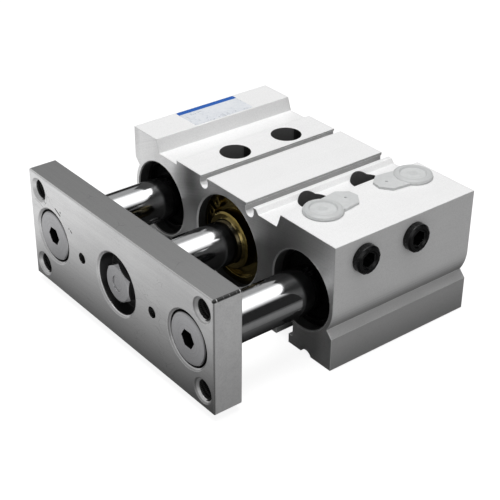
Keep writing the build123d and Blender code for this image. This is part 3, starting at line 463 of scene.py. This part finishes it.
# turned metal; the rings follow the piece's own axis; socket is (radius, y from which it is painted dark as shade,
# radius of the face beyond which painted shade marks the gap round the head), and mirrored is how much darker the
# rods see the piece, a painted reflection
def makeTurnedMaterial(name, bright, dull, metallic, roughLow, roughHigh, centreX=0.0, socket=None, mirrored=0.0):
    material, tree, shader, place = newMaterial(name, Metallic=metallic)
    turned = useGroup(tree, turningRings, Vector=place, Centre=(centreX, 0.0, axisZ), Rings=1900.0)
    grain = useGroup(tree, fineGrain, Vector=place, Grain_Scale=2100.0, Cloud_Scale=120.0, Cloud_Share=0.45)
    blend = plus(tree, times(tree, turned["Mask"], 0.6), times(tree, grain["Mask"], 0.4))
    colour = mixColour(tree, ramp(tree, blend, 0.34, 0.64), dull, bright)
    # worn edges with a painted highlight, lighter than the bright colour
    edges = useGroup(tree, wornEdgesAndHighlight, Vector=place, Radius=0.0002, Breakup=0.3)
    edgeHighlight = tuple(min(1.0, c * 1.35) for c in bright[:3]) + (1,)
    colour = mixColour(tree, edges["Mask"], colour, edgeHighlight)
    # painted shade in the hex socket and in the gap round the head
    if socket:
        socketRadius, darkFrom, faceRadius = socket
        parts = split(tree, place)
        fromAxis = minus(tree, parts[2], axisZ)
        around = inHoles(tree, parts[0], fromAxis, [(centreX, 0.0, socketRadius)])
        deep = times(tree, around, ramp(tree, parts[1], darkFrom, darkFrom + 0.0002))
        colour = mixColour(tree, times(tree, deep, 0.93), colour, (0.02, 0.02, 0.02, 1))
        onHead = inHoles(tree, parts[0], fromAxis, [(centreX, 0.0, faceRadius)])
        colour = mixColour(tree, onHead, (0.03, 0.03, 0.03, 1), colour)
    # painted reflection: glossy rays see the piece darker
    if mirrored:
        inRods = tree.nodes.new("ShaderNodeLightPath").outputs["Is Glossy Ray"]
        colour = mixColour(tree, times(tree, inRods, mirrored), colour, (0.01, 0.01, 0.01, 1))
    rough = ramp(tree, blend, 0.3, 0.7, roughHigh, roughLow)
    wire(tree, shader, colour, rough, turned["Height"], 0.12, 0.00005, edges["Normal"])
    return material


# hard chrome: nearly a mirror, with faint grinding round the rod and a trace of oil haze
def makeChromeMaterial():
    material, tree, shader, place = newMaterial("hardChrome", Metallic=1.0)
    ground = useGroup(tree, toolLines, Vector=place, Stretch=(0.05, 1.0, 0.05), Scale=2600.0)
    haze = useGroup(tree, fineGrain, Vector=place, Grain_Scale=500.0, Cloud_Scale=55.0, Cloud_Share=0.75)
    colour = mixColour(tree, ramp(tree, haze["Mask"], 0.35, 0.65), (0.72, 0.73, 0.74, 1), (0.82, 0.82, 0.825, 1))
    blend = plus(tree, times(tree, ground["Mask"], 0.5), times(tree, haze["Mask"], 0.5))
    rough = ramp(tree, blend, 0.3, 0.7, 0.07, 0.13)
    wire(tree, shader, colour, rough, ground["Height"], 0.05, 0.00002)
    return material


# rubber and resins
def makeSoftMaterial(name, bright, dull, roughLow, roughHigh, grainScale=1800.0, strength=0.25, thick=None,
                     edge=None, **constants):
    material, tree, shader, place = newMaterial(name, **constants)
    grain = useGroup(tree, fineGrain, Vector=place, Grain_Scale=grainScale, Cloud_Scale=90.0, Cloud_Share=0.5)
    colour = mixColour(tree, ramp(tree, grain["Mask"], 0.36, 0.62), dull, bright)
    if thick:
        # see-through plastic is greyer where it is thicker, above a height
        height, thickColour = thick
        above = ramp(tree, split(tree, place)[2], height, height + 0.0002)
        colour = mixColour(tree, times(tree, above, 0.85), colour, thickColour)
    normal = None
    # painted highlight on the rounded edges, in the edge colour
    if edge:
        edges = useGroup(tree, wornEdgesAndHighlight, Vector=place, Radius=0.0004, Breakup=0.4)
        colour, normal = mixColour(tree, edges["Mask"], colour, edge), edges["Normal"]
    rough = ramp(tree, grain["Mask"], 0.35, 0.65, roughLow, roughHigh)
    wire(tree, shader, colour, rough, grain["Height"], strength, 0.00006, normal)
    return material


# label: silvery film with a blue stripe along its outer edge, no lettering
labelLook = {"film": (0.80, 0.82, 0.85, 1), "filmDull": (0.68, 0.71, 0.76, 1), "stripe": (0.004, 0.105, 0.46, 1),
             "stripeWidth": 0.0024}


def makeLabelMaterial(look=labelLook):
    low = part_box("label")[0]
    material, tree, shader, place = newMaterial("labelFilm", Metallic=0.15, Coat_Weight=0.15, Coat_Roughness=0.2)
    edge = low.x + look["stripeWidth"]
    inStripe = ramp(tree, split(tree, place)[0], edge + 0.0001, edge - 0.0001)
    grain = useGroup(tree, fineGrain, Vector=place, Grain_Scale=900.0, Cloud_Scale=70.0, Cloud_Share=0.6)
    film = mixColour(tree, ramp(tree, grain["Mask"], 0.36, 0.62), look["filmDull"], look["film"])
    colour = mixColour(tree, inStripe, film, look["stripe"])
    rough = ramp(tree, grain["Mask"], 0.35, 0.65, 0.24, 0.38)
    wire(tree, shader, colour, rough, grain["Height"], 0.05, 0.00005)
    return material


# bolt heads: the rim is the painted shade of the gap between a head and its counterbore
boltLook = {"bright": (0.50, 0.50, 0.51, 1), "dull": (0.36, 0.36, 0.37, 1), "socketRadius": 0.0035,
            "rim": 0.00022}
looks = {
    "body": makeBodyMaterial(),
    "plate": makePlateMaterial(),
    "chrome": makeChromeMaterial(),
    "yellow": makeTurnedMaterial("yellowChromate", (0.50, 0.39, 0.125, 1), (0.15, 0.10, 0.025, 1), 1.0,
                                 0.14, 0.26, mirrored=0.75),
    "darkRing": makeTurnedMaterial("phosphatedSteel", (0.035, 0.035, 0.035, 1), (0.014, 0.014, 0.014, 1), 0.9,
                                   0.30, 0.45),
    "bearing": makeTurnedMaterial("bearingSteel", (0.60, 0.60, 0.61, 1), (0.42, 0.42, 0.43, 1), 1.0, 0.18, 0.32),
    "turnedAlloy": makeTurnedMaterial("turnedAlloy", (0.70, 0.70, 0.71, 1), (0.52, 0.52, 0.53, 1), 0.9,
                                      0.28, 0.42),
    "bronze": makeTurnedMaterial("sinteredBush", (0.50, 0.36, 0.20, 1), (0.34, 0.23, 0.12, 1), 0.9, 0.35, 0.5),
    "rubber": makeSoftMaterial("blackRubber", (0.004, 0.004, 0.004, 1), (0.002, 0.002, 0.002, 1), 0.60, 0.80,
                               Specular_IOR_Level=0.10),
    "bumper": makeSoftMaterial("bumperUrethane", (0.24, 0.18, 0.09, 1), (0.16, 0.11, 0.05, 1), 0.35, 0.5),
    "resin": makeSoftMaterial("cageResin", (0.62, 0.60, 0.54, 1), (0.50, 0.48, 0.43, 1), 0.4, 0.55),
    "wearResin": makeSoftMaterial("wearResin", (0.34, 0.22, 0.10, 1), (0.24, 0.15, 0.06, 1), 0.4, 0.55),
    "magnet": makeSoftMaterial("bondedMagnet", (0.06, 0.055, 0.055, 1), (0.03, 0.03, 0.03, 1), 0.45, 0.6),
    # the plug's edge colour paints ring highlights on its rounded edges
    "plug": makeSoftMaterial("blackenedPlug", (0.006, 0.006, 0.0065, 1), (0.002, 0.002, 0.002, 1), 0.22, 0.34,
                             1400.0, 0.3, edge=(0.055, 0.055, 0.056, 1), Metallic=0.4, Specular_IOR_Level=0.4),
    "cap": makeSoftMaterial("milkyPolyethylene", (0.65, 0.66, 0.66, 1), (0.59, 0.60, 0.60, 1), 0.30, 0.40,
                            700.0, 0.05, (0.0480, (0.56, 0.57, 0.57, 1)), Transmission_Weight=0.12, IOR=1.35),
    "label": makeLabelMaterial(),
    # painted shade: the threads inside the holes are coloured near black
    "tapped": makeTurnedMaterial("shadedTappedThread", (0.040, 0.040, 0.040, 1), (0.012, 0.012, 0.012, 1), 0.95,
                                 0.22, 0.36),
}
boltLow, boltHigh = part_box("guide_bolt_left")
headRadius = (boltHigh.x - boltLow.x) / 2
for side, x in (("Left", -0.04), ("Middle", 0.0), ("Right", 0.04)):
    socket = (boltLook["socketRadius"], boltLow.y + 0.0001, headRadius - boltLook["rim"]) if x else None
    looks["bolt" + side] = makeTurnedMaterial("boltSteel" + side, boltLook["bright"], boltLook["dull"], 0.95,
                                              0.26, 0.42, x, socket)
print("materials made:", len(looks))

dressed = {
    "body": ["body"], "plate": ["front_plate"], "chrome": ["piston_rod", "guide_rod_left", "guide_rod_right"],
    "yellow": ["rod_cover", "rod_cover_ring"], "boltLeft": ["guide_bolt_left"], "boltRight": ["guide_bolt_right"],
    "boltMiddle": ["rod_bolt", "piston_nut"], "turnedAlloy": ["piston", "head_cover"], "bronze": ["rod_bush"],
    "rubber": ["rod_cover_o_ring", "rod_seal", "piston_seal", "head_cover_o_ring", "guide_wiper_left",
               "guide_wiper_right", "bearing_seals_left", "bearing_seals_right"],
    "bumper": ["bumper_front", "bumper_rear"], "wearResin": ["wear_ring"], "magnet": ["piston_magnet"],
    "darkRing": ["head_cover_ring", "guide_ring_front_left", "guide_ring_front_right", "guide_ring_rear_left",
                 "guide_ring_rear_right"],
    "plug": ["side_plug_front", "side_plug_rear"], "cap": ["port_cap_front", "port_cap_rear"], "label": ["label"],
    "bearing": ["bearing_sleeve_left", "bearing_sleeve_right", "bearing_balls_left", "bearing_balls_right"],
    "resin": ["bearing_cage_left", "bearing_cage_right"],
}
for look, names in dressed.items():
    for name in names:
        slots = nodes[name].material_slots
        for slot in slots:
            slot.material = looks[look]
        if not slots:
            nodes[name].data.materials.append(looks[look])
left = sorted(set(nodes) - {name for names in dressed.values() for name in names})
print("nodes without a look:", left)


# pieces made by geometry nodes

def buildThreads():
    # screw threads on the points of a grid: each a ridge wound round local Z from z = 0 up
    tree = bpy.data.node_groups.new("threadPattern", "GeometryNodeTree")
    sockets(tree, [("Radius", "NodeSocketFloat", 0.0034), ("Depth", "NodeSocketFloat", -0.0004),
                   ("Pitch", "NodeSocketFloat", 0.00125), ("Turns", "NodeSocketFloat", 6.0),
                   ("Count A", "NodeSocketInt", 2), ("Count B", "NodeSocketInt", 2),
                   ("Spacing A", "NodeSocketFloat", 0.04), ("Spacing B", "NodeSocketFloat", 0.02),
                   ("Ragged", "NodeSocketFloat", 0.0), ("Steps", "NodeSocketInt", 40),
                   ("Turn", "NodeSocketVector", (0.0, 0.0, 0.0)), ("Place", "NodeSocketVector", (0.0, 0.0, 0.0)),
                   ("Finish", "NodeSocketMaterial", None)],
            [("Geometry", "NodeSocketGeometry")])
    gin, gout = tree.nodes.new("NodeGroupInput"), tree.nodes.new("NodeGroupOutput")
    given = gin.outputs
    height = times(tree, given["Pitch"], given["Turns"])
    helix = addNode(tree, "GeometryNodeCurveSpiral", {"Resolution": given["Steps"], "Rotations": given["Turns"],
                                                     "Start Radius": given["Radius"], "End Radius": given["Radius"],
                                                     "Height": height}).outputs[0]
    helix = addNode(tree, "GeometryNodeSetCurveNormal", {"Curve": helix}, mode="Z_UP").outputs[0]
    # the ridge's section: a foot in the wall and a narrow crest, the same on both sides of the wall
    halfFoot, halfCrest = times(tree, given["Pitch"], 0.44), times(tree, given["Pitch"], 0.08)
    corners = []
    for side, across in ((-1, halfFoot), (-1, halfCrest), (1, halfCrest), (1, halfFoot)):
        out = given["Depth"] if across == halfCrest else 0.0
        corner = addNode(tree, "ShaderNodeCombineXYZ", {0: out, 1: times(tree, across, side)})
        corners.append(corner.outputs[0])
    section = addNode(tree, "GeometryNodeCurvePrimitiveQuadrilateral", {}, mode="POINTS")
    for number, corner in enumerate(corners):
        tree.links.new(corner, section.inputs["Point " + str(number + 1)])
    ridge = addNode(tree, "GeometryNodeCurveToMesh", {"Curve": helix, "Profile Curve": section.outputs[0],
                                                     "Fill Caps": True}).outputs[0]
    # the ragged look of dried sealant
    place = tree.nodes.new("GeometryNodeInputPosition").outputs[0]
    rough = addNode(tree, "ShaderNodeTexNoise", {"Vector": place, "W": 3.0, "Scale": 900.0},
                    noise_dimensions="4D")
    centred = vectorMaths(tree, "SUBTRACT", rough.outputs["Color"], (0.5, 0.5, 0.5))[0]
    push = addNode(tree, "ShaderNodeVectorMath", {0: centred, "Scale": given["Ragged"]}, operation="SCALE")
    ridge = addNode(tree, "GeometryNodeSetPosition", {"Geometry": ridge, "Offset": push.outputs[0]}).outputs[0]
    grid = addNode(tree, "GeometryNodeMeshGrid", {"Size X": given["Spacing A"], "Size Y": given["Spacing B"],
                                                 "Vertices X": given["Count A"], "Vertices Y": given["Count B"]})
    many = addNode(tree, "GeometryNodeInstanceOnPoints", {"Points": grid.outputs[0], "Instance": ridge}).outputs[0]
    moved = addNode(tree, "GeometryNodeTransform", {"Geometry": many, "Translation": given["Place"],
                                                   "Rotation": given["Turn"]}).outputs[0]
    real = addNode(tree, "GeometryNodeRealizeInstances", {"Geometry": moved}).outputs[0]
    done = addNode(tree, "GeometryNodeSetMaterial", {"Geometry": real, "Material": given["Finish"]}).outputs[0]
    tree.links.new(done, gout.inputs[0])
    return tree


def buildBalls():
    # rows of balls set round an axis along Y
    tree = bpy.data.node_groups.new("ballRows", "GeometryNodeTree")
    sockets(tree, [("Ball Radius", "NodeSocketFloat", 0.0015), ("Place Radius", "NodeSocketFloat", 0.0096),
                   ("Rows", "NodeSocketInt", 5), ("Per Row", "NodeSocketInt", 6),
                   ("Pitch", "NodeSocketFloat", 0.0046), ("First Angle", "NodeSocketFloat", 0.0),
                   ("Place", "NodeSocketVector", (0.0, 0.0, 0.0)),
                   ("Finish", "NodeSocketMaterial", None)],
            [("Geometry", "NodeSocketGeometry")])
    gin, gout = tree.nodes.new("NodeGroupInput"), tree.nodes.new("NodeGroupOutput")
    given = gin.outputs
    count = times(tree, given["Rows"], given["Per Row"])
    points = addNode(tree, "GeometryNodeMeshLine", {"Count": count}).outputs[0]
    index = tree.nodes.new("GeometryNodeInputIndex").outputs[0]
    row = maths(tree, "FLOOR", maths(tree, "DIVIDE", index, given["Per Row"]))
    step = maths(tree, "MODULO", index, given["Per Row"])
    rowAngle = maths(tree, "DIVIDE", math.tau, given["Rows"])
    angle = plus(tree, given["First Angle"], times(tree, row, rowAngle))
    middle = times(tree, minus(tree, given["Per Row"], 1.0), 0.5)
    along = times(tree, minus(tree, step, middle), given["Pitch"])
    x = times(tree, given["Place Radius"], maths(tree, "COSINE", angle))
    z = times(tree, given["Place Radius"], maths(tree, "SINE", angle))
    spot = addNode(tree, "ShaderNodeCombineXYZ", {0: x, 1: along, 2: z}).outputs[0]
    spot = vectorMaths(tree, "ADD", spot, given["Place"])[0]
    points = addNode(tree, "GeometryNodeSetPosition", {"Geometry": points, "Position": spot}).outputs[0]
    ball = addNode(tree, "GeometryNodeMeshIcoSphere", {"Radius": given["Ball Radius"], "Subdivisions": 3})
    ball = addNode(tree, "GeometryNodeSetShadeSmooth", {"Geometry": ball.outputs[0]}).outputs[0]
    many = addNode(tree, "GeometryNodeInstanceOnPoints", {"Points": points, "Instance": ball}).outputs[0]
    real = addNode(tree, "GeometryNodeRealizeInstances", {"Geometry": many}).outputs[0]
    done = addNode(tree, "GeometryNodeSetMaterial", {"Geometry": real, "Material": given["Finish"]}).outputs[0]
    tree.links.new(done, gout.inputs[0])
    return tree


def grown(name, tree, values):
    # runs a tree on an empty mesh and keeps the result as a plain mesh object
    holder = bpy.data.objects.new(name + "Holder", bpy.data.meshes.new(name + "Holder"))
    scene.collection.objects.link(holder)
    modifier = holder.modifiers.new("grow", "NODES")
    modifier.node_group = tree
    for item in tree.interface.items_tree:
        if item.item_type == "SOCKET" and item.in_out == "INPUT" and item.name in values:
            modifier[item.identifier] = values[item.name]
    bpy.context.view_layer.update()
    result = holder.evaluated_get(bpy.context.evaluated_depsgraph_get())
    mesh = bpy.data.meshes.new_from_object(result)
    holder.modifiers.remove(modifier)
    bpy.data.objects.remove(holder)
    piece = bpy.data.objects.new(name, mesh)
    scene.collection.objects.link(piece)
    print(name, "has", len(mesh.polygons), "faces")
    return piece


threadPattern, ballRows = buildThreads(), buildBalls()

# M8 threads in the plate's four corner holes; the plate's own bevels stay clear
plateThread = {"Radius": 0.0034, "Depth": -0.00042, "Pitch": 0.00125, "Turns": 7.2, "Count A": 2, "Count B": 2,
               "Spacing A": 0.096, "Spacing B": 0.030, "Steps": 36, "Ragged": 0.0, "Turn": (math.pi / 2, 0.0, 0.0)}
plateLow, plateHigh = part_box("front_plate")
plateMiddle = (plateLow + plateHigh) / 2
plateStart = plateMiddle.y + plateThread["Pitch"] * plateThread["Turns"] / 2
plateThreads = grown("plateThreads", threadPattern, {**plateThread, "Finish": looks["tapped"],
                                                     "Place": (plateMiddle.x, plateStart, plateMiddle.z)})
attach(plateThreads, "carriage")

# M8 threads in the lower 16 mm of the mounting holes
mountThread = {"Radius": 0.0033, "Depth": -0.00038, "Pitch": 0.00125, "Turns": 12.4, "Count A": 2, "Count B": 2,
               "Spacing A": 0.044, "Spacing B": 0.024, "Steps": 30, "Ragged": 0.0, "Turn": (0.0, 0.0, 0.0),
               "Place": (0.0, 0.0, 0.0006)}
mountThreads = grown("mountThreads", threadPattern, {**mountThread, "Finish": looks["tapped"]})
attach(mountThreads, "housing")

# taper thread with dried sealant where the two side plugs stand out of the body
plugThread = {"Radius": 0.00497, "Depth": 0.00042, "Pitch": 0.000907, "Turns": 2.1, "Count A": 1, "Count B": 2,
              "Spacing A": 0.0, "Steps": 48, "Ragged": 0.0005, "Turn": (0.0, math.pi / 2, 0.0)}
plugThreadGap = 0.0003
frontLow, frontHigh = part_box("side_plug_front")
rearLow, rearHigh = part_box("side_plug_rear")
plugApart = (rearLow.y + rearHigh.y - frontLow.y - frontHigh.y) / 2
plugPlace = (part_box("body")[1].x + plugThreadGap, (frontLow.y + rearHigh.y) / 2, (frontLow.z + frontHigh.z) / 2)
plugThreads = grown("plugThreads", threadPattern, {**plugThread, "Spacing B": plugApart, "Finish": looks["plug"],
                                                   "Place": plugPlace})
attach(plugThreads, "housing")

# round balls in place of the flat-sided ones of the frame
ballValues = {"Ball Radius": 0.0015575, "Place Radius": 0.0095875, "Rows": 5, "Per Row": 6, "Pitch": 0.0046,
              "First Angle": math.pi / 2}
for side in ("left", "right"):
    low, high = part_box("guide_rod_" + side)
    ballLow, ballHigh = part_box("bearing_balls_" + side)
    middle = ((low.x + high.x) / 2, (ballLow.y + ballHigh.y) / 2, (low.z + high.z) / 2)
    balls = grown("guideBalls_" + side, ballRows, {**ballValues, "Place": middle, "Finish": looks["bearing"]})
    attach(balls, "housing")
    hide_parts("bearing_balls_" + side)
print("threads and balls made")


# stage, light and camera; seenLift is what the floor adds for the camera, the mirror values what it adds for
# metal, a painted light with a painted shadow under the object; the footprint is the object's: middle x, middle y,
# half x, half y
stageLook = {
    "floor": (0.24, 0.24, 0.24, 1), "mirrored": (0.02, 0.02, 0.02, 1), "floorZ": -0.0002, "halfSize": 1.6,
    "seenLift": 0.87, "mirrorUnder": 0.005, "mirrorBeside": 0.84, "mirrorRight": 0.13, "mirrorFar": 0.03,
    "besideWidth": 0.045, "rightFrom": 0.02, "rightTo": 0.06, "behindFrom": -0.12, "behindTo": 0.02,
    "nearRadius": 0.14, "farRadius": 0.32, "footprint": (0.0, -0.023, 0.054, 0.052),
}


def mirroredFloor(tree, look, parts, place):
    # painted light and shadow in reflections: polished faces see the floor dark under the object, light beside it
    # and dark again far behind
    outside = []
    for value, middle, half in zip(parts, look["footprint"][:2], look["footprint"][2:]):
        past = minus(tree, absolute(tree, minus(tree, value, middle)), half)
        outside.append(larger(tree, past, 0.0))
    toTheRight = ramp(tree, parts[0], look["rightFrom"], look["rightTo"])
    lit = mixValue(tree, toTheRight, look["mirrorBeside"], look["mirrorRight"])
    out = ramp(tree, distance(tree, *outside), 0.0, look["besideWidth"])
    beside = mixValue(tree, out, look["mirrorUnder"], lit)
    away = addNode(tree, "ShaderNodeVectorMath", {0: place}, operation="LENGTH").outputs["Value"]
    far = ramp(tree, away, look["nearRadius"], look["farRadius"])
    behind = times(tree, far, ramp(tree, parts[1], look["behindFrom"], look["behindTo"]))
    return mixValue(tree, behind, beside, look["mirrorFar"])


def makeStage(look=stageLook):
    half, z = look["halfSize"], look["floorZ"]
    mesh = bpy.data.meshes.new("paleFloor")
    mesh.from_pydata([(-half, -half, z), (half, -half, z), (half, half, z), (-half, half, z)], [], [(0, 1, 2, 3)])
    floor = bpy.data.objects.new("paleFloor", mesh)
    scene.collection.objects.link(floor)
    material, tree, shader, place = newMaterial("paleFloor", Roughness=0.9)
    low = tuple(c * 0.985 for c in look["floor"][:3]) + (1,)
    shader.inputs["Emission Color"].default_value = (1, 1, 1, 1)
    path = tree.nodes.new("ShaderNodeLightPath").outputs
    pale = mixColour(tree, noise(tree, place, 9.0, 3.0, 0.5), low, look["floor"])
    # for glossy rays the floor's colour is painted dark
    tree.links.new(mixColour(tree, path["Is Glossy Ray"], pale, look["mirrored"]), shader.inputs["Base Color"])
    seen = times(tree, path["Is Camera Ray"], look["seenLift"])
    mirrored = larger(tree, path["Is Glossy Ray"], path["Is Transmission Ray"])
    level = mirroredFloor(tree, look, split(tree, place)[:2], place)
    tree.links.new(larger(tree, seen, times(tree, mirrored, level)), shader.inputs["Emission Strength"])
    mesh.materials.append(material)


# the room: even for matt surfaces; for polished ones dark low behind and to the right, mid grey to the left and
# in front, with a soft white panel high behind the object
worldLook = {
    "diffuse": 0.34, "dark": 0.02, "middle": 0.42, "panel": 1.6,
    # where each part of the room begins and is full, as values of the direction's x, y or z
    "leftX": (0.15, -0.25), "leftZ": (0.28, 0.48), "aheadY": (0.1, -0.3), "aheadZ": (0.72, 0.58),
    "panelX": (-0.48, -0.16), "panelY": (0.15, 0.4), "panelZ": (0.56, 0.80),
}


def makeWorld(look=worldLook):
    world = bpy.data.worlds.new("studio")
    scene.world = world
    world.use_nodes = True
    tree = world.node_tree
    background = tree.nodes["Background"]
    background.inputs["Color"].default_value = (1, 1, 1, 1)
    path = tree.nodes.new("ShaderNodeLightPath")
    toward = split(tree, tree.nodes.new("ShaderNodeTexCoord").outputs["Generated"])
    left = times(tree, ramp(tree, toward[2], *look["leftZ"]), ramp(tree, toward[0], *look["leftX"]))
    ahead = times(tree, ramp(tree, toward[1], *look["aheadY"]), ramp(tree, toward[2], *look["aheadZ"]))
    level = mixValue(tree, larger(tree, left, ahead), look["dark"], look["middle"])
    panel = times(tree, ramp(tree, toward[2], *look["panelZ"]), ramp(tree, toward[1], *look["panelY"]))
    panel = times(tree, panel, ramp(tree, toward[0], *look["panelX"]))
    mirrored = mixValue(tree, panel, level, look["panel"])
    plain = mixValue(tree, path.outputs["Is Glossy Ray"], look["diffuse"], mirrored)
    seen = mixValue(tree, path.outputs["Is Camera Ray"], plain, 1.0)
    tree.links.new(seen, background.inputs["Strength"])


# name: place, aims at, width, height, watts
lampLook = {
    "keyAbove": ((-0.05, -0.02, 0.85), (0.0, 0.0, 0.03), 0.50, 0.50, 5.6),
    "fillRight": ((0.80, -0.30, 0.50), (0.0, 0.0, 0.04), 0.60, 0.60, 1.25),
}


def makeLamps():
    for name, (place, aim, width, height, watts) in lampLook.items():
        data = bpy.data.lights.new(name, "AREA")
        data.shape = "RECTANGLE"
        data.size, data.size_y, data.energy = width, height, watts
        lamp = bpy.data.objects.new(name, data)
        scene.collection.objects.link(lamp)
        backward = (Matrix.Translation(place).translation - Matrix.Translation(aim).translation).normalized()
        lamp.matrix_world = Matrix.Translation(place) @ backward.to_track_quat("Z", "Y").to_matrix().to_4x4()


# the photo's view: where the camera stands, and its right, up and back
cameraLook = {
    "sensor": 36.0, "lens": 89.503, "clip": (0.01, 20.0), "place": (0.29832, -0.26060, 0.24457),
    "right": (0.62065, 0.78405, 0.00723), "up": (-0.40650, 0.31387, 0.85805),
    "back": (0.67049, -0.53548, 0.51352),
}


def makeCamera(look=cameraLook):
    data = bpy.data.cameras.new("photoView")
    data.sensor_width, data.lens = look["sensor"], look["lens"]
    data.clip_start, data.clip_end = look["clip"]
    camera = bpy.data.objects.new("photoView", data)
    scene.collection.objects.link(camera)
    turn = Matrix((look["right"], look["up"], look["back"])).transposed().to_4x4()
    camera.matrix_world = Matrix.Translation(look["place"]) @ turn
    scene.camera = camera


makeStage()
makeWorld()
makeLamps()
makeCamera()
scene.view_settings.view_transform = "Standard"
print("stage, lamps and camera made")
